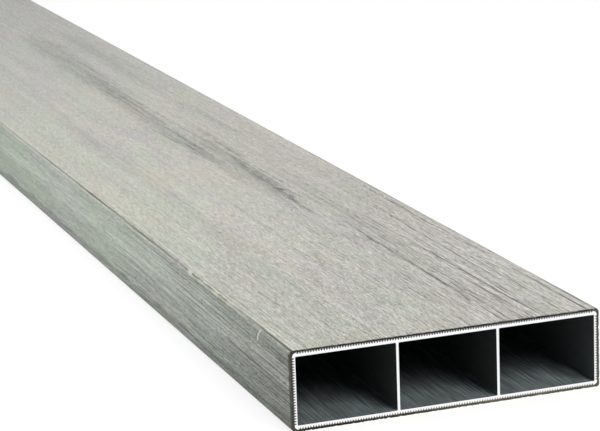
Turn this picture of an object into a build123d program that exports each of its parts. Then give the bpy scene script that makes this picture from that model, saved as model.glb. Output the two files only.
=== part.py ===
from build123d import *
import os

# Board, millimetres. X runs across the board, Y along it, Z up from its lower face.
board_length = 2400.0
board_width = 200.0
board_thickness = 50.0

# Composite cap: its thickness over the tips of the key teeth, and its rounded long edges
cap_thickness = 1.5
cap_edge_radius = 2.0

# Key grooves of the core, which the cap fills
key_pitch = 1.67
key_depth = 1.0
key_tip_land = 0.16

# Aluminium core: wall left under the key grooves of the faces and of the edges, and the webs
face_wall = 1.4
edge_wall = 0.8
web_thickness = 1.6
web_count = 2
core_corner_radius = 2.4
chamber_corner_radius = 0.6

# Sizes that follow from those above
core_width = board_width - 2 * cap_thickness
core_height = board_thickness - 2 * cap_thickness
groove_mouth = key_pitch - key_tip_land
face_run = core_width - 2 * core_corner_radius
edge_run = core_height - 2 * core_corner_radius
face_groove_count = int(face_run / key_pitch)
edge_groove_count = int(edge_run / key_pitch)
hollow_width = core_width - 2 * (key_depth + edge_wall)
chamber_count = web_count + 1
chamber_width = (hollow_width - web_count * web_thickness) / chamber_count
chamber_height = core_height - 2 * (key_depth + face_wall)
chamber_pitch = chamber_width + web_thickness

# Plane of the section at the far end of the board, with its origin at the middle of the section
section_plane = Plane(
    origin=(0, board_length / 2, board_thickness / 2), x_dir=(1, 0, 0), z_dir=(0, -1, 0)
)


def grooved_run(run, groove_count):
    """Corners of one straight run with its key grooves, from right to left along the local X axis."""
    corners = [(run / 2, 0)]
    for groove in range(groove_count):
        middle = ((groove_count - 1) / 2 - groove) * key_pitch
        corners.append((middle + groove_mouth / 2, 0))
        corners.append((middle, -key_depth))
        corners.append((middle - groove_mouth / 2, 0))
    corners.append((-run / 2, 0))
    return corners


# Outline of the core: four grooved runs, each followed by the corner arc to the next
with BuildSketch(section_plane) as core_outline:
    with BuildLine():
        for quarter_turn in range(4):
            on_face = quarter_turn % 2 == 0
            run = face_run if on_face else edge_run
            cross_run = edge_run if on_face else face_run
            groove_count = face_groove_count if on_face else edge_groove_count
            reach = cross_run / 2 + core_corner_radius
            turn = 90 * quarter_turn
            corners = [
                Vector(across, reach + out).rotate(Axis.Z, turn)
                for across, out in grooved_run(run, groove_count)
            ]
            Polyline(*corners)
            arc_centre = Vector(-run / 2, cross_run / 2).rotate(Axis.Z, turn)
            CenterArc(arc_centre, core_corner_radius, 90 + turn, 90)
    make_face()

with BuildPart() as core:
    with BuildSketch(section_plane):
        add(core_outline.sketch_local)
        with GridLocations(chamber_pitch, chamber_height, chamber_count, 1):
            RectangleRounded(chamber_width, chamber_height, chamber_corner_radius, mode=Mode.SUBTRACT)
    extrude(amount=board_length)
core.part.label = "aluminium_core"

with BuildPart() as cap:
    with BuildSketch(section_plane):
        RectangleRounded(board_width, board_thickness, cap_edge_radius)
        add(core_outline.sketch_local, mode=Mode.SUBTRACT)
    extrude(amount=board_length)
cap.part.label = "composite_cap"

os.makedirs("parts", exist_ok=True)
export_step(core.part, "parts/aluminium_core.step")
export_step(cap.part, "parts/composite_cap.step")
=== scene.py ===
import math
from typing import NamedTuple

import bmesh
import bpy
from mathutils import Matrix, Vector


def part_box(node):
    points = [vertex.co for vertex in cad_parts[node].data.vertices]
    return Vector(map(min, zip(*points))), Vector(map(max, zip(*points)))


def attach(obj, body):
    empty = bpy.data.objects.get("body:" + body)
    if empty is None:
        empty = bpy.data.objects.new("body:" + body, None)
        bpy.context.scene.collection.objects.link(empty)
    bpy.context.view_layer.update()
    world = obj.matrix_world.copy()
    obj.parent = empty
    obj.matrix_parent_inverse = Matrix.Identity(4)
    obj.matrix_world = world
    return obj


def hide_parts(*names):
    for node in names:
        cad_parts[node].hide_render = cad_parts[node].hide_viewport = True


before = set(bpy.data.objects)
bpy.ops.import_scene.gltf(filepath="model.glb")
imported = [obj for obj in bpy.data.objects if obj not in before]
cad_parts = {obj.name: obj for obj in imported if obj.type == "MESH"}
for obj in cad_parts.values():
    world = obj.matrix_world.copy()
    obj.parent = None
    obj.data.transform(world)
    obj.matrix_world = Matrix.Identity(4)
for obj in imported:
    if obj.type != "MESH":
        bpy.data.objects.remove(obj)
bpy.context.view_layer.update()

# Sizes of the board, in metres, from the CAD boxes
cap_low, cap_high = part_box("composite_cap")
core_low, core_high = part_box("aluminium_core")
BOARD_WIDTH = cap_high.x - cap_low.x
BOARD_LENGTH = cap_high.y - cap_low.y
BOARD_THICKNESS = cap_high.z - cap_low.z
CORE_WIDTH = core_high.x - core_low.x
CORE_HEIGHT = core_high.z - core_low.z
CAP_THICKNESS = (BOARD_WIDTH - CORE_WIDTH) / 2
HALF_WIDTH = BOARD_WIDTH / 2
HALF_LENGTH = BOARD_LENGTH / 2
MIDDLE_HEIGHT = BOARD_THICKNESS / 2
SAWN_END = -HALF_LENGTH

# Sizes of the section that the boxes don't give
CAP_EDGE_RADIUS = 0.0020
KEY_PITCH = 0.00167
KEY_DEPTH = 0.0010
KEY_TIP_LAND = 0.00016
CORE_CORNER_RADIUS = 0.0024
FACE_WALL = 0.0014
EDGE_WALL = 0.0008
WEB_THICKNESS = 0.0016
WEB_COUNT = 2
CHAMBER_CORNER_RADIUS = 0.0006
CHAMBER_COUNT = WEB_COUNT + 1
HOLLOW_WIDTH = CORE_WIDTH - 2 * (KEY_DEPTH + EDGE_WALL)
CHAMBER_WIDTH = (HOLLOW_WIDTH - WEB_COUNT * WEB_THICKNESS) / CHAMBER_COUNT
CHAMBER_HEIGHT = CORE_HEIGHT - 2 * (KEY_DEPTH + FACE_WALL)
CHAMBER_FLOOR = CAP_THICKNESS + KEY_DEPTH + FACE_WALL
FACE_RUN = CORE_WIDTH - 2 * CORE_CORNER_RADIUS
EDGE_RUN = CORE_HEIGHT - 2 * CORE_CORNER_RADIUS

# Points of one key groove and of each round corner, and how close points are to become one
GROOVE_POINTS = 5
CORE_CORNER_POINTS = 7
CHAMBER_CORNER_POINTS = 5
CAP_CORNER_POINTS = 8
CORE_MERGE_DISTANCE = 2e-6
CAP_MERGE_DISTANCE = 5e-6

# Embossed grain of the cap, and the chips at the saw cuts
GRAIN_DEPTH = 0.00018
CELLS_ROUND = 1160
CELLS_ALONG = 80
SAW_CHIP_RUN = 0.0015
SAW_CHIP_DEPTH = 0.0004


class Field:
    """A socket with arithmetic: each operator adds a Math node to the socket's tree."""

    def __init__(self, patch, socket):
        self.patch = patch
        self.socket = socket

    def __add__(self, other):
        return self.patch.math("ADD", self, other)

    def __radd__(self, other):
        return self.patch.math("ADD", other, self)

    def __sub__(self, other):
        return self.patch.math("SUBTRACT", self, other)

    def __rsub__(self, other):
        return self.patch.math("SUBTRACT", other, self)

    def __mul__(self, other):
        return self.patch.math("MULTIPLY", self, other)

    def __rmul__(self, other):
        return self.patch.math("MULTIPLY", other, self)

    def __truediv__(self, other):
        return self.patch.math("DIVIDE", self, other)

    def __rtruediv__(self, other):
        return self.patch.math("DIVIDE", other, self)

    def __neg__(self):
        return self.patch.math("MULTIPLY", self, -1.0)

    def __abs__(self):
        return self.patch.math("ABSOLUTE", self)

    def __gt__(self, other):
        return self.patch.math("GREATER_THAN", self, other)

    def __lt__(self, other):
        return self.patch.math("LESS_THAN", self, other)

    def least(self, other):
        return self.patch.math("MINIMUM", self, other)

    def most(self, other):
        return self.patch.math("MAXIMUM", self, other)

    def floor(self):
        return self.patch.math("FLOOR", self)

    def step(self, low, high, out_low=0.0, out_high=1.0):
        """Smooth step from out_low at low to out_high at high."""
        made = self.patch.node(
            "ShaderNodeMapRange",
            {"interpolation_type": "SMOOTHSTEP"},
            {"Value": self, "From Min": low, "From Max": high, "To Min": out_low, "To Max": out_high},
        )
        return Field(self.patch, made.outputs[0])


class Patch:
    """A node tree being wired: makes nodes, sets them and links their sockets."""

    def __init__(self, tree):
        self.tree = tree

    def node(self, kind, settings=None, inputs=None):
        """A node of that type, with its settings set first and then its inputs' values or links."""
        made = self.tree.nodes.new(kind)
        for name, value in (settings or {}).items():
            setattr(made, name, value)
        for name, value in (inputs or {}).items():
            self.feed(made.inputs[name], value)
        return made

    def feed(self, socket, value):
        """Links the socket to a field, socket or node, or to each of a list of them, or sets its value."""
        if isinstance(value, list):
            for each in value:
                self.feed(socket, each)
        elif isinstance(value, Field):
            self.tree.links.new(value.socket, socket)
        elif isinstance(value, bpy.types.NodeSocket):
            self.tree.links.new(value, socket)
        elif isinstance(value, bpy.types.Node):
            self.tree.links.new(value.outputs[0], socket)
        else:
            socket.default_value = value

    def math(self, operation, *operands):
        made = self.node("ShaderNodeMath", {"operation": operation}, dict(enumerate(operands)))
        return Field(self, made.outputs[0])

    def object_point(self):
        """The place on the piece, in its own coordinates."""
        return self.node("ShaderNodeTexCoord").outputs["Object"]

    def split(self, vector):
        made = self.node("ShaderNodeSeparateXYZ", None, {0: vector})
        return [Field(self, made.outputs[axis]) for axis in range(3)]

    def vector(self, x=0.0, y=0.0, z=0.0):
        return self.node("ShaderNodeCombineXYZ", None, {0: x, 1: y, 2: z}).outputs[0]

    def noise(self, vector, scale, detail):
        inputs = {"Vector": vector, "Scale": scale, "Detail": detail}
        return Field(self, self.node("ShaderNodeTexNoise", {"noise_dimensions": "3D"}, inputs).outputs[0])

    def mix(self, factor, first, second, blend="MIX"):
        """Colour mix of first and second."""
        settings = {"data_type": "RGBA", "blend_type": blend}
        return self.node("ShaderNodeMix", settings, {0: factor, 6: first, 7: second}).outputs[2]

    def darken(self, factor, tone, share):
        """The tone multiplied down to that share of its light where the factor is 1."""
        return self.mix(factor, tone, (share, share, share, 1.0), "MULTIPLY")

    def lighten(self, factor, tone, share):
        """The tone raised by that share of the way to white where the factor is 1."""
        return self.mix(factor, tone, (share, share, share, 1.0), "SCREEN")

    def bump(self, height, strength, distance):
        inputs = {"Strength": strength, "Distance": distance, "Height": height}
        return self.node("ShaderNodeBump", None, inputs)


def rgb(red, green, blue):
    """Linear colour from display levels 0 to 255."""
    def linear(level):
        share = level / 255
        return share / 12.92 if share <= 0.04045 else ((share + 0.055) / 1.055) ** 2.4
    return (linear(red), linear(green), linear(blue), 1.0)


# Grain patterns: width of a cell round the board, its length along it, shift of the pattern, detail
GRAIN = {
    "fine": (0.00018, 0.0035, 11.3, 1.0),
    "fibre": (0.00028, 0.009, 3.7, 1.0),
    "pore": (0.00034, 0.030, 23.1, 1.0),
    "line": (0.00056, 0.090, 71.7, 1.0),
    "side_line": (0.00030, 0.160, 47.9, 1.0),
    "ribbon": (0.0030, 0.250, 31.7, 1.0),
    "jag": (0.0015, 0.010, 67.3, 1.0),
    "frill": (0.0030, 0.022, 41.9, 1.0),
    "wobble": (0.0120, 0.050, 19.3, 1.0),
    "cloud": (0.022, 0.11, 57.3, 2.0),
    "tint": (0.026, 0.10, 83.9, 2.0),
    "plume": (0.011, 0.32, 97.1, 2.0),
}

# How far the grain wanders sideways, in metres
WANDER_REACH = 0.006


def stretched_noise(patch, place, across, along, detail):
    """Noise with that many cells a metre across the board and along it."""
    x, y, z = place
    return patch.noise(patch.vector(x * across, y * along, z * across), 1.0, detail)


def grain(patch, point, *names):
    """Grain patterns as fields of the place on the board: they wander along Y and wrap the edges."""
    x, y, z = patch.split(point)
    wander = stretched_noise(patch, (x, y, z), across=14.0, along=2.6, detail=1.0) - 0.5
    across = x + wander * WANDER_REACH
    up = z + wander * WANDER_REACH
    fields = {"wander": wander}
    for name in names:
        width, length, shift, detail = GRAIN[name]
        place = patch.vector(across / width + shift, y / length + shift, up / width)
        fields[name] = patch.noise(place, 1.0, detail)
    return fields


# Materials

def material(name):
    made = bpy.data.materials.new(name)
    made.use_nodes = True
    made.node_tree.nodes.clear()
    return made, Patch(made.node_tree)


def surface(patch, inputs):
    """A Principled surface with these inputs, wired to the output."""
    shader = patch.node("ShaderNodeBsdfPrincipled", None, inputs)
    patch.node("ShaderNodeOutputMaterial", None, {"Surface": shader})


# Tones of the weathered skin: its clouds and tints, then its streaks, worn corners and scorched rims
CREAM = rgb(200, 199, 188)
LILAC_GREY = rgb(191, 187, 185)
GREEN_TINT = rgb(188, 197, 180)
PINK_TINT = rgb(205, 196, 184)
LEFT_GREEN = rgb(195, 199, 182)
RIGHT_GREY = rgb(188, 182, 177)
FAR_GREY = rgb(196, 196, 194)
# The narrow sides' greener tone is a painted tint of the shade on them
SHADED_SIDE_GREEN = rgb(190, 201, 183)
SIDE_GREY = rgb(193, 196, 193)
PLUME_GREY = rgb(126, 129, 123)
LINE_GREY = rgb(74, 72, 74)
FLECK_BROWN = rgb(134, 120, 98)
RUBBED_PALE = rgb(232, 231, 224)
HAIRLINE_PALE = rgb(226, 227, 216)
CORNER_DARK = rgb(84, 88, 80)
CHIP_PALE = rgb(222, 218, 200)
NICK_PALE = rgb(236, 238, 234)
SCORCHED_SIDE = rgb(54, 54, 46)
SCORCHED_TOP = rgb(80, 78, 70)

# Where the upper face of the cap and its narrow sides give way to each other, in from the board's faces
TURN_START = 0.0030
TURN_END = 0.0010

# Stretch of the upper face, from the sawn end, over which its named streaks give way to general grain
NAMED_RUN_START = 1.15
NAMED_RUN_END = 1.40

# In a pair of distances below, a mark is absent at the first and full at the second

# Heights of the tones of the narrow sides: darker lower half, dark foot painted as the shade along the floor,
# and darker upper band
SIDE_LOWER = (0.0275, 0.0225)
SIDE_FOOT_SHADE = (0.0090, 0.0060)
SIDE_BAND = (0.0350, 0.0430)

# Pale rubbed line along the long corners: in from the narrow sides, and off its middle
RUB_INSET = 0.0052
RUB_WIDTH = (0.0014, 0.0003)

# Dark line at the turn to the narrow sides: in from them, off its middle and down from the upper face
DARK_LINE_INSET = 0.0013
DARK_LINE_WIDTH = (0.0009, 0.0003)
DARK_LINE_DROP = (0.0020, 0.0008)

# Pale chips of the left corner: in from the narrow side, down from the upper face and along from the sawn end
CHIPPED_INSET = 0.0024
CHIPPED_DROP = (0.0026, 0.0016)
CHIPPED_START = (0.08, 0.14)
CHIPPED_END = (0.27, 0.20)

# Scorched rims of the saw cuts: in from the cuts, and how far their edge strays
SIDE_SCORCH = (0.0042, 0.0022)
TOP_SCORCH = (0.0016, 0.0004)
SCORCH_STRAY = 0.0030

# Pale curved nick high on the left narrow side
NICK_FOOT = 0.0405
NICK_HEIGHT = 0.0085
NICK_FROM_CUT = 0.0590
NICK_BOW = 0.0070
NICK_HALF_WIDTH = 0.0015
NICK_INSET = 0.0010


class Streak(NamedTuple):
    """One long streak of the upper face, in metres, with start and end measured from the sawn end.

    The strength is the mask's level along the streak, and fade the share of its length that each end takes.
    """
    start: float
    end: float
    start_x: float
    end_x: float
    half_width: float
    strength: float
    fade: float = 0.3


# Broad soft grey streaks
GREY_PLUMES = (
    Streak(0.30, 0.68, 0.0280, 0.0440, 0.0110, 0.90, fade=0.25),
    Streak(0.37, 0.66, 0.0165, 0.0225, 0.0090, 0.45),
    Streak(0.46, 0.96, 0.0195, 0.0305, 0.0160, 0.88),
    Streak(0.82, 1.26, 0.0255, 0.0365, 0.0230, 0.66),
    Streak(0.56, 0.80, 0.0700, 0.0710, 0.0060, 0.35),
    Streak(0.76, 1.30, 0.0730, 0.0690, 0.0150, 0.40),
    Streak(0.10, 0.54, 0.0480, 0.0560, 0.0150, 0.30),
    Streak(-0.10, 0.95, -0.0500, -0.0490, 0.0120, 0.22),
)

# Thin dark grain lines, most of them near the sawn end
DARK_LINES = (
    Streak(-0.06, 0.34, 0.0372, 0.0412, 0.0016, 1.00),
    Streak(-0.04, 0.18, 0.0422, 0.0440, 0.0011, 0.84),
    Streak(0.04, 0.30, 0.0470, 0.0480, 0.0009, 0.62),
    Streak(-0.05, 0.26, 0.0632, 0.0608, 0.0013, 1.00),
    Streak(0.05, 0.36, 0.0740, 0.0765, 0.0012, 0.90),
    Streak(-0.03, 0.12, 0.0560, 0.0555, 0.0010, 0.84),
    Streak(-0.05, 0.13, 0.0930, 0.0922, 0.0010, 0.84),
    Streak(0.13, 0.42, 0.0915, 0.0935, 0.0012, 0.84),
    Streak(0.03, 0.12, 0.0150, 0.0148, 0.0009, 0.50),
    Streak(0.01, 0.10, 0.0225, 0.0222, 0.0009, 0.48),
    Streak(0.08, 0.27, 0.0030, 0.0040, 0.0008, 0.62),
    Streak(0.29, 0.44, 0.0280, 0.0340, 0.0019, 0.73),
    Streak(0.36, 0.50, 0.0325, 0.0365, 0.0013, 0.62),
    Streak(0.40, 0.54, 0.0300, 0.0375, 0.0014, 0.56),
    Streak(0.20, 0.44, 0.0520, 0.0560, 0.0009, 0.50),
    Streak(0.18, 0.52, 0.0840, 0.0850, 0.0009, 0.50),
    Streak(-0.04, 0.11, -0.0880, -0.0890, 0.0009, 0.55),
    Streak(0.01, 0.15, -0.0790, -0.0785, 0.0008, 0.40),
    Streak(-0.03, 0.09, -0.0610, -0.0612, 0.0008, 0.40),
    Streak(-0.05, 0.60, -0.0972, -0.0978, 0.0009, 0.60),
    Streak(-0.06, 0.18, -0.0942, -0.0970, 0.0008, 0.75),
)

# Small brown flecks
BROWN_FLECKS = (
    Streak(0.155, 0.215, -0.0138, -0.0125, 0.0022, 0.50),
    Streak(0.205, 0.255, -0.0420, -0.0380, 0.0040, 0.25),
)

# Thin pale scratches close to the left edge
PALE_HAIRLINES = (
    Streak(-0.05, 0.21, -0.0956, -0.0984, 0.0008, 0.80),
    Streak(-0.06, 0.17, -0.0928, -0.0958, 0.0007, 0.80),
    Streak(0.10, 0.34, -0.0974, -0.0986, 0.0008, 0.55),
)

# Share of a streak's half width that has its full strength
STREAK_HEART = 0.15


def streak_mask(streaks, x, from_cut):
    """Sum of the masks of those streaks."""
    total = 0.0
    for streak in streaks:
        along = (from_cut - streak.start) / (streak.end - streak.start)
        middle = along * (streak.end_x - streak.start_x)
        offset = abs(x - streak.start_x - middle) / streak.half_width
        mask = offset.step(1.0, STREAK_HEART) * along.step(0.0, streak.fade)
        mask = mask * along.step(1.0, 1.0 - streak.fade)
        total = total + mask * streak.strength
    return total


class CapSkin:
    """Fields of a place on the skin of the cap: where it lies on the board, and the grain there."""

    def __init__(self, patch):
        point = patch.object_point()
        self.patch = patch
        self.x, self.y, self.z = patch.split(point)
        self.fields = grain(patch, point, *GRAIN)
        self.wobble = self.fields["wobble"] - 0.5
        self.from_cut = self.y - SAWN_END
        self.from_end = HALF_LENGTH - abs(self.y)
        self.from_top = BOARD_THICKNESS - self.z
        self.from_side = HALF_WIDTH - abs(self.x)
        self.upper = self.from_top.step(TURN_START, TURN_END)
        self.narrow = self.from_side.step(TURN_START, TURN_END) * (1.0 - self.upper)


def clouded(skin):
    """Cream and lilac grey in soft clouds, with greener and pinker places, greyer towards +X and +Y, and the
    narrow sides tinted greener as painted shade.
    """
    patch, x, from_cut, upper, narrow = skin.patch, skin.x, skin.from_cut, skin.upper, skin.narrow
    cloud, tint = skin.fields["cloud"], skin.fields["tint"]
    tone = patch.mix(cloud.step(0.38, 0.62), CREAM, LILAC_GREY)
    tone = patch.mix(tint.step(0.50, 0.68, 0.0, 0.8), tone, GREEN_TINT)
    tone = patch.mix(tint.step(0.47, 0.30, 0.0, 0.8), tone, PINK_TINT)
    tone = patch.mix(x.step(-0.03, -0.09, 0.0, 0.4) * upper, tone, LEFT_GREEN)
    rightward = x.step(-0.04, 0.06, 0.0, 0.6) * upper * from_cut.step(1.0, 0.5, 0.3, 1.0)
    tone = patch.mix(rightward, tone, RIGHT_GREY)
    tone = patch.mix(from_cut.step(0.6, 1.0, 0.0, 0.45) * upper, tone, FAR_GREY)
    # Painted shade tint: the narrow sides turn greener
    tone = patch.mix(narrow * 0.85, tone, SHADED_SIDE_GREEN)
    return patch.mix(narrow * cloud.step(0.50, 0.66, 0.0, 0.7), tone, SIDE_GREY)


def fibred(skin, tone):
    """Faint ribbons along the board and fine fibres all over, clearest near the sawn end."""
    patch, from_cut, narrow = skin.patch, skin.from_cut, skin.narrow
    ribbon, fibre, fine = skin.fields["ribbon"], skin.fields["fibre"], skin.fields["fine"]
    clear = from_cut.step(0.50, 0.10, 0.66, 1.12) * from_cut.step(1.0, 0.6, 0.75, 1.0)
    ribboned = clear.least(1.0) * (1.0 - narrow * 0.65)
    gritty = clear * (1.0 + narrow * 0.6)
    tone = patch.darken(ribbon.step(0.54, 0.34, 0.0, 0.35) * ribboned, tone, 0.68)
    tone = patch.lighten(ribbon.step(0.48, 0.66, 0.0, 0.30) * ribboned, tone, 0.25)
    tone = patch.darken(fibre.step(0.56, 0.32, 0.0, 0.60) * clear, tone, 0.38)
    tone = patch.lighten(fibre.step(0.44, 0.68, 0.0, 0.60) * clear, tone, 0.55)
    tone = patch.darken(fine.step(0.54, 0.34, 0.0, 0.55) * gritty, tone, 0.38)
    return patch.lighten(fine.step(0.46, 0.66, 0.0, 0.55) * gritty, tone, 0.55)


def lined(skin, tone):
    """Long lines on the narrow sides; pores and lines on the wide faces, most towards +X and the cut."""
    patch, from_cut, narrow = skin.patch, skin.from_cut, skin.narrow
    side_line, pore, line = skin.fields["side_line"], skin.fields["pore"], skin.fields["line"]
    beside = narrow * from_cut.step(0.55, 0.10, 0.45, 1.0)
    streaky = from_cut.step(0.45, 0.06, 0.25, 1.0) * skin.x.step(-0.01, 0.05, 0.35, 0.85)
    streaky = streaky * (1.0 - narrow)
    tone = patch.darken(side_line.step(0.50, 0.30) * beside * 0.9, tone, 0.16)
    tone = patch.lighten(side_line.step(0.50, 0.70) * beside * 0.9, tone, 0.55)
    tone = patch.darken(pore.step(0.48, 0.28) * streaky * 0.9, tone, 0.14)
    tone = patch.lighten(pore.step(0.52, 0.70) * streaky * 0.8, tone, 0.55)
    tone = patch.darken(line.step(0.44, 0.28) * streaky * 0.8, tone, 0.20)
    return patch.lighten(line.step(0.56, 0.72) * streaky * 0.5, tone, 0.50)


def side_tones_and_painted_shade(skin, tone):
    """Narrow sides: a darker lower half, a dark foot of painted shade, a darker upper band, and painted shade
    near the sawn end.
    """
    patch, from_cut, narrow = skin.patch, skin.from_cut, skin.narrow
    level = skin.z + skin.wobble * 0.012
    # The lower half and the upper band darken more near the sawn end, as painted shade
    lower = narrow * level.step(*SIDE_LOWER) * from_cut.step(0.30, 0.05, 0.50, 1.0)
    # Painted shade: the dark foot along the floor
    foot_shade = narrow * level.step(*SIDE_FOOT_SHADE)
    band = narrow * level.step(*SIDE_BAND) * from_cut.step(0.35, 0.10, 0.40, 1.0)
    tone = patch.darken(lower, tone, 0.69)
    tone = patch.darken(foot_shade, tone, 0.66)
    tone = patch.darken(band, tone, 0.78)
    # Painted shade: the narrow sides darkened close to the sawn end
    return patch.darken(narrow * from_cut.step(0.16, 0.0, 0.0, 0.30), tone, 0.60)


def streaked(skin, tone):
    """The named streaks of the upper face, broken up by the grain, and general plumes elsewhere."""
    patch, x, from_cut, fields, wobble = skin.patch, skin.x, skin.from_cut, skin.fields, skin.wobble
    strand, frill, jag = fields["ribbon"] - 0.5, fields["frill"] - 0.5, fields["jag"] - 0.5
    named = skin.upper * from_cut.step(NAMED_RUN_END, NAMED_RUN_START)

    drift = x + fields["wander"] * 0.012 + wobble * 0.012 + strand * 0.010
    drift = drift + frill * 0.016 + jag * 0.014
    hair = fields["line"].step(0.62, 0.38, 0.55, 1.0) * strand.step(0.16, -0.10, 0.60, 1.0)
    hair = hair * jag.step(0.12, -0.10, 0.65, 1.05)
    plumes = streak_mask(GREY_PLUMES, drift, from_cut) * named
    plumes = plumes + fields["plume"].step(0.60, 0.76, 0.0, 0.5) * (1.0 - named) * (1.0 - skin.narrow)
    tone = patch.mix((plumes * hair).least(1.0), tone, PLUME_GREY)

    ragged = from_cut.step(0.24, 0.32, 0.0, 0.010)
    strayed = x + wobble * 0.003 + frill * 0.002 + jag * ragged
    lines = streak_mask(DARK_LINES, strayed, from_cut) * named
    lines = lines * fields["fibre"].step(0.70, 0.35, 0.4, 1.0) * frill.step(-0.12, 0.08, 0.50, 1.05)
    tone = patch.mix(lines.least(1.0), tone, LINE_GREY)
    return patch.mix(streak_mask(BROWN_FLECKS, drift, from_cut) * named, tone, FLECK_BROWN)


def nick_mask(skin):
    """Mask of the pale curved nick."""
    climb = (skin.z - NICK_FOOT) / NICK_HEIGHT
    offset = abs(skin.from_cut - NICK_FROM_CUT + climb * climb * NICK_BOW) / NICK_HALF_WIDTH
    on_left = skin.x < NICK_INSET - HALF_WIDTH
    return offset.step(1.0, 0.3) * climb.step(-0.1, 0.1) * climb.step(1.1, 0.9) * on_left


def worn_corners(skin, tone):
    """Long corners: pale rubbed lines and scratches on the wide face, a dark line at the turn, pale chips."""
    patch, x, from_cut, from_top = skin.patch, skin.x, skin.from_cut, skin.from_top
    fibre, line = skin.fields["fibre"], skin.fields["line"]
    rub = abs(skin.from_side - RUB_INSET).step(*RUB_WIDTH) * line.step(0.42, 0.62)
    tone = patch.mix(rub * from_cut.step(0.40, 0.15, 0.08, 0.45), tone, RUBBED_PALE)

    hairline = streak_mask(PALE_HAIRLINES, x + skin.wobble * 0.002, from_cut)
    hairline = hairline * skin.upper * fibre.step(0.40, 0.55, 0.4, 1.0)
    tone = patch.mix(hairline.least(1.0), tone, HAIRLINE_PALE)

    dark_line = abs(skin.from_side - DARK_LINE_INSET).step(*DARK_LINE_WIDTH) * from_top.step(*DARK_LINE_DROP)
    dark_line = dark_line * line.step(0.62, 0.42, 0.45, 1.0) * from_cut.step(0.90, 0.40, 0.45, 1.0)
    tone = patch.mix(dark_line, tone, CORNER_DARK)

    chipped = stretched_noise(patch, (x, skin.y, skin.z), across=300.0, along=110.0, detail=2.0)
    chipped = chipped.step(0.50, 0.62) * from_cut.step(*CHIPPED_START) * from_cut.step(*CHIPPED_END)
    chipped = chipped * (x < CHIPPED_INSET - HALF_WIDTH) * from_top.step(*CHIPPED_DROP)
    tone = patch.mix(chipped * 0.8, tone, CHIP_PALE)
    return patch.mix(nick_mask(skin), tone, NICK_PALE)


def scorched(skin, tone):
    """Scorched rims of the saw cuts."""
    rim = skin.from_end + (skin.fields["pore"] - 0.5) * SCORCH_STRAY
    tone = skin.patch.mix(rim.step(*SIDE_SCORCH) * skin.narrow * 0.85, tone, SCORCHED_SIDE)
    return skin.patch.mix(rim.step(*TOP_SCORCH) * skin.upper * 0.6, tone, SCORCHED_TOP)


def weathered_and_shaded_composite():
    """The embossed and weathered skin of the cap, with painted shade on its narrow sides."""
    made, patch = material("weathered_and_shaded_composite")
    skin = CapSkin(patch)
    tone = clouded(skin)
    for wear in (fibred, lined, side_tones_and_painted_shade, streaked, worn_corners, scorched):
        tone = wear(skin, tone)
    fields = skin.fields
    height = fields["fibre"] * 0.5 + fields["fine"] * 0.3 + fields["line"] * 0.4
    height = height - fields["pore"].step(0.38, 0.24) * 0.3
    surface(patch, {
        "Base Color": tone,
        "Roughness": fields["fibre"].step(0.2, 0.8, 0.80, 0.66),
        "Normal": patch.bump(height, 0.4, 0.00010),
        "Specular IOR Level": 0.3,
    })
    return made


# Reach to both sides of the board's middle over which the finish of a sawn end changes
END_REACH = 0.09

# Metal burrs over the cap and composite smears over the metal at the teeth: pairs of depths below the faces
FACE_BURR = (0.0010, 0.0013)
EDGE_BURR = (0.0011, 0.0014)
FACE_SMEAR = (0.0031, 0.0027)
EDGE_SMEAR = (0.0029, 0.0026)

# Heights above a chamber's floor between which its lined floor gives way to the darker walls, which are
# painted shade
WALL_SHADE_RISE = (0.0006, 0.0036)


def tooth_share(place):
    """0 on the middle line of the nearest key groove of a row, 1 on that of the nearest tooth."""
    turns = place / KEY_PITCH
    return abs(turns - (turns + 0.5).floor()) * 2.0


def key_rows(x, z):
    """Share across the teeth of the faces' and the edges' rows, each with the mask of where its row runs."""
    rise = z - MIDDLE_HEIGHT
    on_face = (abs(x) < FACE_RUN / 2) * (abs(rise) > EDGE_RUN / 2)
    on_edge = (abs(rise) < EDGE_RUN / 2) * (abs(x) > FACE_RUN / 2)
    return tooth_share(x), on_face, tooth_share(rise), on_edge


def sawn_composite():
    """The dark sawn ends of the cap."""
    made, patch = material("sawn_composite")
    point = patch.object_point()
    x, _, z = patch.split(point)
    speck = patch.noise(point, 1500.0, 2.0)
    blotch = patch.noise(point, 90.0, 1.0).step(0.35, 0.65, 0.6, 1.0)
    low_right = x.step(-0.06, 0.03) * z.step(0.006, 0.002)
    olive = low_right.most(abs(x).step(0.094, 0.098) * 0.45) * blotch
    tone = patch.mix(olive, rgb(38, 37, 31), rgb(118, 115, 94))
    tone = patch.mix(speck.step(0.52, 0.74, 0.0, 0.6), tone, rgb(160, 157, 136))
    tone = patch.mix(speck.step(0.48, 0.30, 0.0, 0.7), tone, rgb(20, 19, 16))

    # Bright metal dragged out over the cap at the tooth tips of the upper face and the narrow sides
    share_face, on_face, share_edge, on_edge = key_rows(x, z)
    over_face = (BOARD_THICKNESS - z).step(*FACE_BURR) * on_face * (z > MIDDLE_HEIGHT)
    over_edge = (HALF_WIDTH - abs(x)).step(*EDGE_BURR) * on_edge
    face_burr = share_face.step(0.45, 0.70) * over_face * x.step(END_REACH, -END_REACH, 0.55, 0.85)
    edge_burr = share_edge.step(0.55, 0.80) * over_edge * x.step(-END_REACH, END_REACH, 0.80, 0.45)
    tone = patch.mix(face_burr + edge_burr, tone, rgb(246, 247, 247))
    surface(patch, {
        "Base Color": tone,
        "Roughness": 0.85,
        "Normal": patch.bump(speck, 0.5, 0.0003),
        "Specular IOR Level": 0.2,
    })
    return made


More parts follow.
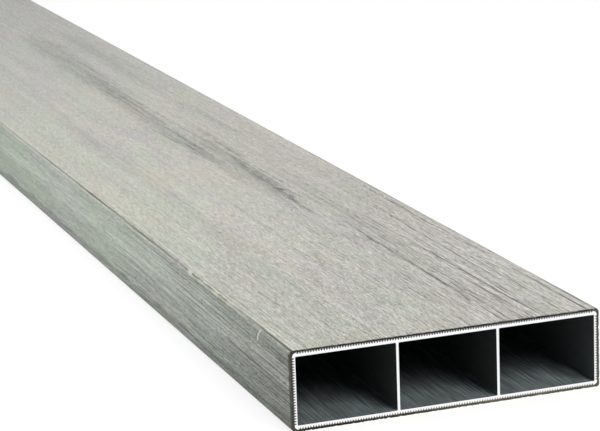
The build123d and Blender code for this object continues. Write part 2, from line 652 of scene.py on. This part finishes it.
def sawn_aluminium():
    """The bright sawn ends of the core."""
    made, patch = material("sawn_aluminium")
    x, _, z = patch.split(patch.object_point())
    saw_line = patch.noise(patch.vector(x * 300.0, 0.0, z * 6000.0), 1.0, 2.0)

    # Dark composite dragged over the metal at the groove roots of the lower face and the narrow sides
    share_face, on_face, share_edge, on_edge = key_rows(x, z)
    face_smear = share_face.step(0.60, 0.40) * z.step(*FACE_SMEAR) * on_face * 0.30
    over_edge = (HALF_WIDTH - abs(x)).step(*EDGE_SMEAR) * on_edge
    edge_smear = share_edge.step(0.50, 0.30) * over_edge * x.step(-END_REACH, END_REACH, 0.75, 0.35)
    tone = patch.mix(face_smear + edge_smear, rgb(250, 251, 252), rgb(24, 23, 19))
    surface(patch, {
        "Base Color": tone,
        "Metallic": 1.0,
        "Roughness": saw_line.step(0.3, 0.7, 0.30, 0.42),
        "Normal": patch.bump(saw_line, 0.1, 0.0001),
    })
    return made


def extruded_aluminium():
    """The dull drawn metal: lined floors in the chambers, and plainer walls darkened as painted shade, less
    so towards +X.
    """
    made, patch = material("extruded_aluminium")
    x, y, z = patch.split(patch.object_point())
    die_line = stretched_noise(patch, (x, y, z), across=2000.0, along=26.0, detail=2.0)
    dull = stretched_noise(patch, (x, y, z), across=120.0, along=60.0, detail=3.0)
    floor_tone = patch.mix(die_line.step(0.35, 0.62), rgb(76, 84, 88), rgb(140, 152, 158))
    floor_tone = patch.mix(dull.step(0.40, 0.65, 0.0, 0.5), floor_tone, rgb(95, 103, 105))
    # Painted shade: the walls darker than the floors, lighter towards +X
    shaded_wall_tone = patch.mix(x.step(0.05, 0.09), rgb(78, 81, 81), rgb(108, 113, 114))
    painted_wall_shade = (z - CHAMBER_FLOOR).step(*WALL_SHADE_RISE) * 0.92
    surface(patch, {
        "Base Color": patch.mix(painted_wall_shade, floor_tone, shaded_wall_tone),
        "Metallic": 0.1,
        "Roughness": dull.step(0.3, 0.7, 0.62, 0.74),
        "Normal": patch.bump(die_line, 0.3, 0.0002),
        "Specular IOR Level": 0.1,
    })
    return made


# Shapes

def node_group(name, inputs, output):
    """A Geometry Nodes tree with number inputs, given as names and defaults, and one geometry output."""
    tree = bpy.data.node_groups.new(name, "GeometryNodeTree")
    for label, default in inputs.items():
        kind = "NodeSocketInt" if isinstance(default, int) else "NodeSocketFloat"
        socket = tree.interface.new_socket(name=label, in_out="INPUT", socket_type=kind)
        socket.default_value = default
    tree.interface.new_socket(name=output, in_out="OUTPUT", socket_type="NodeSocketGeometry")
    patch = Patch(tree)
    entry = patch.node("NodeGroupInput")
    sizes = {label: Field(patch, entry.outputs[label]) for label in inputs}
    return tree, patch, sizes


def keyed_outline_group():
    """Outline of the core in the XY plane: rows of key grooves between four corner arcs."""
    tree, patch, size = node_group("keyed_outline", {
        "Width": CORE_WIDTH,
        "Height": CORE_HEIGHT,
        "Corner Radius": CORE_CORNER_RADIUS,
        "Key Pitch": KEY_PITCH,
        "Key Depth": KEY_DEPTH,
        "Tip Land": KEY_TIP_LAND,
    }, "Curve")
    pitch, land, radius = size["Key Pitch"], size["Tip Land"], size["Corner Radius"]

    # One groove: its root in the middle, then on both sides its mouth and the middle of the tooth's tip
    index = Field(patch, patch.node("GeometryNodeInputIndex").outputs[0])
    from_root = index - GROOVE_POINTS // 2
    side = patch.math("SIGN", from_root)
    steps = abs(from_root)
    groove_x = side * (steps.least(1.0) * (pitch - land) / 2.0 + (steps - 1.0).most(0.0) * land / 2.0)
    groove_y = (steps < 0.5) * -1.0 * size["Key Depth"]
    groove = patch.node("GeometryNodeSetPosition", None, {
        "Geometry": patch.node("GeometryNodeMeshLine", {"mode": "OFFSET"}, {"Count": GROOVE_POINTS}),
        "Position": patch.vector(groove_x, groove_y),
    })

    def row(run):
        """A straight run along X with as many grooves as fit, centred, and a plain stretch at both ends."""
        count = (run / pitch).floor()
        reach = count * pitch / 2.0
        points = patch.node("GeometryNodeMeshLine", {"mode": "OFFSET"}, {
            "Count": count,
            "Start Location": patch.vector(pitch / 2.0 - reach),
            "Offset": patch.vector(pitch),
        })
        grooves = patch.node("GeometryNodeInstanceOnPoints", None, {"Points": points, "Instance": groove})
        ends = [
            patch.node("GeometryNodeMeshLine", {"mode": "END_POINTS"}, {
                "Count": 2,
                "Start Location": patch.vector(reach * sign),
                "Offset": patch.vector(run * (0.5 * sign)),
            })
            for sign in (-1.0, 1.0)
        ]
        return patch.node("GeometryNodeJoinGeometry", None, {"Geometry": [grooves] + ends})

    arc = patch.node("GeometryNodeCurveToMesh", None, {
        "Curve": patch.node("GeometryNodeCurveArc", {"mode": "RADIUS"}, {
            "Resolution": CORE_CORNER_POINTS,
            "Radius": radius,
            "Start Angle": 0.0,
            "Sweep Angle": math.pi / 2,
        }),
    })
    half_width, half_height = size["Width"] / 2.0, size["Height"] / 2.0
    arc_x, arc_y = half_width - radius, half_height - radius
    face_row, edge_row = row(arc_x * 2.0), row(arc_y * 2.0)
    sides = []
    for quarter in range(4):
        turn = (0.0, 0.0, math.pi / 2 * quarter)
        x_side = 1.0 if quarter in (0, 3) else -1.0
        y_side = 1.0 if quarter in (0, 1) else -1.0
        on_face = quarter % 2 == 0
        seat = patch.vector(0.0, half_height * y_side) if on_face else patch.vector(half_width * x_side)
        sides.append(patch.node("GeometryNodeTransform", None, {
            "Geometry": face_row if on_face else edge_row, "Translation": seat, "Rotation": turn,
        }))
        corner = patch.vector(arc_x * x_side, arc_y * y_side)
        sides.append(patch.node("GeometryNodeTransform", None, {
            "Geometry": arc, "Translation": corner, "Rotation": turn,
        }))
    pieces = patch.node("GeometryNodeJoinGeometry", None, {"Geometry": sides})
    loop = patch.node("GeometryNodeMergeByDistance", None, {
        "Geometry": patch.node("GeometryNodeRealizeInstances", None, {"Geometry": pieces}),
        "Distance": CORE_MERGE_DISTANCE,
    })
    curve = patch.node("GeometryNodeMeshToCurve", None, {"Mesh": loop})
    patch.node("NodeGroupOutput", None, {"Curve": curve})
    return tree


def upright(patch, section, y):
    """The XY section stood up in the XZ plane at that Y, centred on the board."""
    return patch.node("GeometryNodeTransform", None, {
        "Geometry": section,
        "Translation": patch.vector(0.0, y, MIDDLE_HEIGHT),
        "Rotation": (math.pi / 2, 0.0, 0.0),
    })


def rounded_rectangle(patch, width, height, radius, corner_points):
    return patch.node("GeometryNodeFilletCurve", {"mode": "POLY"}, {
        "Curve": patch.node("GeometryNodeCurvePrimitiveQuadrilateral", {"mode": "RECTANGLE"}, {
            "Width": width, "Height": height,
        }),
        "Radius": radius,
        "Count": corner_points,
    })


def finish_tree(patch, solid, cut, wall):
    """Sets the sawn finish on the two ends and the other finish on the rest, and ends the tree."""
    normal = patch.node("GeometryNodeInputNormal").outputs[0]
    facing = abs(patch.split(normal)[1])
    shape = patch.node("GeometryNodeRealizeInstances", None, {"Geometry": solid})
    walled = patch.node("GeometryNodeSetMaterial", None, {"Geometry": shape, "Material": wall})
    done = patch.node("GeometryNodeSetMaterial", None, {
        "Geometry": walled, "Selection": facing > 0.9, "Material": cut,
    })
    patch.node("NodeGroupOutput", None, {"Geometry": done})


def core_tree(outline, cut, wall):
    """The core: its keyed outline and its chambers, filled at one end and drawn out to the other."""
    tree, patch, size = node_group("aluminium_core", {
        "Length": BOARD_LENGTH,
        "Chamber Width": CHAMBER_WIDTH,
        "Chamber Height": CHAMBER_HEIGHT,
        "Chamber Corner Radius": CHAMBER_CORNER_RADIUS,
        "Web Thickness": WEB_THICKNESS,
        "Chambers": CHAMBER_COUNT,
    }, "Geometry")
    group = patch.node("GeometryNodeGroup", {"node_tree": outline})
    chamber = rounded_rectangle(
        patch,
        size["Chamber Width"],
        size["Chamber Height"],
        size["Chamber Corner Radius"],
        CHAMBER_CORNER_POINTS,
    )
    spacing = size["Chamber Width"] + size["Web Thickness"]
    seats = patch.node("GeometryNodeMeshLine", {"mode": "OFFSET"}, {
        "Count": size["Chambers"],
        "Start Location": patch.vector((size["Chambers"] - 1.0) * spacing / -2.0),
        "Offset": patch.vector(spacing),
    })
    chambers = patch.node("GeometryNodeRealizeInstances", None, {
        "Geometry": patch.node("GeometryNodeInstanceOnPoints", None, {"Points": seats, "Instance": chamber}),
    })
    section = patch.node("GeometryNodeFillCurve", {"mode": "TRIANGLES"}, {
        "Curve": patch.node("GeometryNodeJoinGeometry", None, {"Geometry": [group, chambers]}),
    })
    end = upright(patch, section, size["Length"] / -2.0)
    body = patch.node("GeometryNodeExtrudeMesh", {"mode": "FACES"}, {
        "Mesh": end,
        "Offset": patch.vector(0.0, 1.0, 0.0),
        "Offset Scale": size["Length"],
        "Individual": False,
    })
    closed = patch.node("GeometryNodeMergeByDistance", None, {
        "Geometry": patch.node("GeometryNodeJoinGeometry", None, {"Geometry": [body, end]}),
        "Distance": CORE_MERGE_DISTANCE,
    })
    finish_tree(patch, closed, cut, wall)
    return tree


def cap_tree(outline, cut, skin_finish):
    """The cap: an embossed outer skin, a lining along the core's outline and a ring at both ends."""
    tree, patch, size = node_group("composite_cap", {
        "Width": BOARD_WIDTH,
        "Thickness": BOARD_THICKNESS,
        "Length": BOARD_LENGTH,
        "Edge Radius": CAP_EDGE_RADIUS,
        "Cap Thickness": CAP_THICKNESS,
        "Grain Depth": GRAIN_DEPTH,
        "Chip Depth": SAW_CHIP_DEPTH,
        "Cells Round": CELLS_ROUND,
        "Cells Along": CELLS_ALONG,
    }, "Geometry")
    inner = patch.node("GeometryNodeGroup", {"node_tree": outline})
    rounded = rounded_rectangle(
        patch, size["Width"], size["Thickness"], size["Edge Radius"], CAP_CORNER_POINTS
    )
    outer = patch.node("GeometryNodeResampleCurve", {"mode": "COUNT"}, {
        "Curve": rounded, "Count": size["Cells Round"],
    })
    near = size["Length"] / -2.0

    # Path along the board that the outer loop is swept on; its second and last but one points lie by the ends
    row_index = Field(patch, patch.node("GeometryNodeInputIndex").outputs[0])
    last = size["Cells Along"]
    share = ((row_index - 1.0) / (last - 2.0)).most(0.0).least(1.0)
    along = near + SAW_CHIP_RUN + share * (size["Length"] - 2.0 * SAW_CHIP_RUN)
    along = along - (row_index < 0.5) * SAW_CHIP_RUN + (row_index > last - 0.5) * SAW_CHIP_RUN
    path = patch.node("GeometryNodeSetPosition", None, {
        "Geometry": patch.node("GeometryNodeMeshLine", {"mode": "OFFSET"}, {"Count": last + 1.0}),
        "Position": patch.vector(0.0, along, MIDDLE_HEIGHT),
    })
    sleeve = patch.node("GeometryNodeCurveToMesh", None, {
        "Curve": patch.node("GeometryNodeMeshToCurve", None, {"Mesh": path}), "Profile Curve": outer,
    })
    inner_edges = patch.node("GeometryNodeCurveToMesh", None, {"Curve": inner})
    lining = patch.node("GeometryNodeExtrudeMesh", {"mode": "EDGES"}, {
        "Mesh": upright(patch, inner_edges, near),
        "Offset": patch.vector(0.0, 1.0, 0.0),
        "Offset Scale": size["Length"],
    })

    # The sweep lays the points of the outer loop mirrored, so the end faces take them mirrored too
    swept_loop = patch.node("GeometryNodeTransform", None, {"Geometry": outer, "Scale": (-1.0, 1.0, 1.0)})
    ring = patch.node("GeometryNodeFillCurve", {"mode": "TRIANGLES"}, {
        "Curve": patch.node("GeometryNodeJoinGeometry", None, {"Geometry": [swept_loop, inner]}),
    })
    ends = [upright(patch, ring, near), upright(patch, ring, size["Length"] / 2.0)]
    closed = patch.node("GeometryNodeMergeByDistance", None, {
        "Geometry": patch.node("GeometryNodeJoinGeometry", None, {"Geometry": [sleeve, lining] + ends}),
        "Distance": CAP_MERGE_DISTANCE,
    })

    # Emboss the outer points inwards along the section's own normal
    place = patch.node("GeometryNodeInputPosition").outputs[0]
    x, y, z = patch.split(place)
    flat_x = size["Width"] / 2.0 - size["Edge Radius"]
    flat_z = size["Thickness"] / 2.0 - size["Edge Radius"]
    rise = z - MIDDLE_HEIGHT
    out_x = x - x.least(flat_x).most(-flat_x)
    out_z = rise - rise.least(flat_z).most(-flat_z)
    normal_length = patch.math("SQRT", out_x * out_x + out_z * out_z).most(1e-6)
    past_side = abs(x) - size["Width"] / 2.0
    past_face = abs(rise) - size["Thickness"] / 2.0
    past_core = past_side.most(past_face) + size["Cap Thickness"]
    on_skin = past_core > size["Cap Thickness"] * 0.5
    at_cut = abs(y) > size["Length"] / 2.0 - SAW_CHIP_RUN * 0.5
    chip = stretched_noise(patch, (x, y, z), across=700.0, along=3.0, detail=1.0).step(0.45, 0.75)
    fields = grain(patch, place, "line", "plume")
    embossing = fields["line"].step(0.55, 0.25) * 0.8 + (1.0 - fields["plume"]) * 0.3
    embossing = embossing.least(1.0).most(0.0)
    depth = (embossing * size["Grain Depth"] + chip * at_cut * size["Chip Depth"]) * on_skin
    embossed = patch.node("GeometryNodeSetPosition", None, {
        "Geometry": closed,
        "Offset": patch.vector(-out_x / normal_length * depth, 0.0, -out_z / normal_length * depth),
    })
    finish_tree(patch, embossed, cut, skin_finish)
    return tree


def grown(name, tree):
    """A plain mesh object made by a Geometry Nodes tree from its own sizes."""
    holder = bpy.data.objects.new(name + "_tree", bpy.data.meshes.new(name + "_tree"))
    bpy.context.scene.collection.objects.link(holder)
    modifier = holder.modifiers.new("tree", "NODES")
    modifier.node_group = tree
    for socket in tree.interface.items_tree:
        if socket.in_out == "INPUT":
            modifier[socket.identifier] = socket.default_value
    graph = bpy.context.evaluated_depsgraph_get()
    mesh = bpy.data.meshes.new_from_object(holder.evaluated_get(graph), depsgraph=graph)
    bpy.data.objects.remove(holder)
    mesh.name = name
    if mesh.materials[0] is None:
        mesh.materials.pop(index=0)
    piece = bpy.data.objects.new(name, mesh)
    bpy.context.scene.collection.objects.link(piece)
    return piece


def turn_outwards(mesh, smooth_finish=None):
    """Turns the faces outwards, shades the faces of one finish smooth and keeps the cut edges sharp."""
    work = bmesh.new()
    work.from_mesh(mesh)
    bmesh.ops.recalc_face_normals(work, faces=work.faces)
    smooth_slot = mesh.materials.find(smooth_finish.name) if smooth_finish else -1
    for face in work.faces:
        face.smooth = face.material_index == smooth_slot
    for edge in work.edges:
        edge.smooth = len({face.material_index for face in edge.link_faces}) == 1
    work.to_mesh(mesh)
    work.free()


keyed_outline = keyed_outline_group()
skin_finish = weathered_and_shaded_composite()
cap = grown("embossed_cap", cap_tree(keyed_outline, sawn_composite(), skin_finish))
turn_outwards(cap.data, skin_finish)
core = grown("keyed_core", core_tree(keyed_outline, sawn_aluminium(), extruded_aluminium()))
turn_outwards(core.data)
for piece, node, slot in ((cap, "composite_cap", "composite"), (core, "aluminium_core", "aluminium")):
    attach(piece, "root")
    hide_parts(node)


# Stage: pale floor and world. FLOOR_GLOW is added for the camera alone, WORLD_LEVEL lights the board
FLOOR_REACH = 30.0
FLOOR_CORNERS = ((-1, -1), (1, -1), (1, 1), (-1, 1))
FLOOR_GREY = (0.30, 0.30, 0.30, 1.0)
FLOOR_GLOW = 0.80
WORLD_TINT = (0.97, 0.99, 1.0, 1.0)
WORLD_LEVEL = 0.12
WHITE = (1.0, 1.0, 1.0, 1.0)

# Camera, solved from the straight edges of the board in the photograph
CAMERA_PLACE = (-0.52664, SAWN_END - 1.24747, 0.45229)
CAMERA_HEADING = math.radians(19.2777)
CAMERA_TILT = math.radians(-13.6956)
CAMERA_ROLL = math.radians(-2.1713)
CAMERA_LENS = 141.935
CAMERA_SENSOR = 36.0
CAMERA_SIGHT = 200.0


def ray_kinds(patch):
    """Whether a ray comes from the camera, and whether a mirror or glass has sent it on."""
    rays = patch.node("ShaderNodeLightPath")
    labels = "Is Camera Ray", "Is Glossy Ray", "Is Transmission Ray"
    camera_ray, glossy_ray, through_ray = (Field(patch, rays.outputs[label]) for label in labels)
    return camera_ray, glossy_ray.most(through_ray)


def pale_floor():
    made, patch = material("pale_floor")
    camera_ray, sent_on = ray_kinds(patch)
    lit = patch.node("ShaderNodeAddShader", None, {
        0: patch.node("ShaderNodeBsdfDiffuse", None, {"Color": FLOOR_GREY}),
        1: patch.node("ShaderNodeEmission", None, {"Strength": camera_ray * FLOOR_GLOW}),
    })
    plain = patch.node("ShaderNodeEmission", None, {"Strength": 1.0})
    patch.node("ShaderNodeOutputMaterial", None, {
        "Surface": patch.node("ShaderNodeMixShader", None, {0: sent_on, 1: lit, 2: plain}),
    })
    return made


def studio_world():
    """White where the camera or a mirrored ray looks, and a low even light on the board."""
    made = bpy.data.worlds.new("studio")
    made.use_nodes = True
    made.node_tree.nodes.clear()
    patch = Patch(made.node_tree)
    camera_ray, sent_on = ray_kinds(patch)
    patch.node("ShaderNodeOutputWorld", None, {
        "Surface": patch.node("ShaderNodeMixShader", None, {
            0: camera_ray.most(sent_on),
            1: patch.node("ShaderNodeBackground", None, {"Color": WORLD_TINT, "Strength": WORLD_LEVEL}),
            2: patch.node("ShaderNodeBackground", None, {"Color": WHITE, "Strength": 1.0}),
        }),
    })
    return made


def lamp(name, place, target, size, power, colour, spread=math.pi):
    """A square soft box at place, facing target; spread is the angle that its grid lets out."""
    light = bpy.data.lights.new(name, "AREA")
    light.shape = "SQUARE"
    light.size = size
    light.energy = power
    light.color = colour
    light.spread = spread
    holder = bpy.data.objects.new(name, light)
    holder.location = place
    holder.rotation_euler = (Vector(target) - Vector(place)).to_track_quat("-Z", "Y").to_euler()
    bpy.context.scene.collection.objects.link(holder)


floor_mesh = bpy.data.meshes.new("floor")
floor_points = [(FLOOR_REACH * x, FLOOR_REACH * y, 0.0) for x, y in FLOOR_CORNERS]
floor_mesh.from_pydata(floor_points, [], [(0, 1, 2, 3)])
floor_mesh.materials.append(pale_floor())
floor = bpy.data.objects.new("floor", floor_mesh)
bpy.context.scene.collection.objects.link(floor)
bpy.context.scene.world = studio_world()

lamp(
    "overhead", place=(0.3, 0.35, 3.2), target=(0.1, 0.25, 0.0), size=2.4,
    power=41.0, colour=(0.97, 0.985, 1.02),
)
lamp(
    "front", place=(1.1, -3.5, 2.4), target=(0.0, -1.1, 0.0), size=2.0,
    power=91.0, colour=(1.0, 0.98, 0.89),
)
lamp(
    "left_fill", place=(-2.2, -0.55, 0.8), target=(-0.1, -0.76, 0.0), size=0.8,
    power=2.5, colour=(0.96, 1.0, 0.96), spread=math.radians(46),
)
lamp(
    "left_back", place=(-2.6, 0.9, 0.9), target=(-0.1, 0.55, 0.0), size=1.0,
    power=2.1, colour=(0.96, 1.0, 0.97), spread=math.radians(60),
)

camera_data = bpy.data.cameras.new("camera")
camera_data.sensor_width = CAMERA_SENSOR
camera_data.lens = CAMERA_LENS
camera_data.clip_end = CAMERA_SIGHT
camera = bpy.data.objects.new("camera", camera_data)
camera_turn = (
    Matrix.Rotation(-CAMERA_HEADING, 4, "Z")
    @ Matrix.Rotation(math.pi / 2 + CAMERA_TILT, 4, "X")
    @ Matrix.Rotation(CAMERA_ROLL, 4, "Z")
)
camera.matrix_world = Matrix.Translation(CAMERA_PLACE) @ camera_turn
bpy.context.scene.collection.objects.link(camera)
bpy.context.scene.camera = camera
bpy.context.scene.view_settings.view_transform = "Standard"
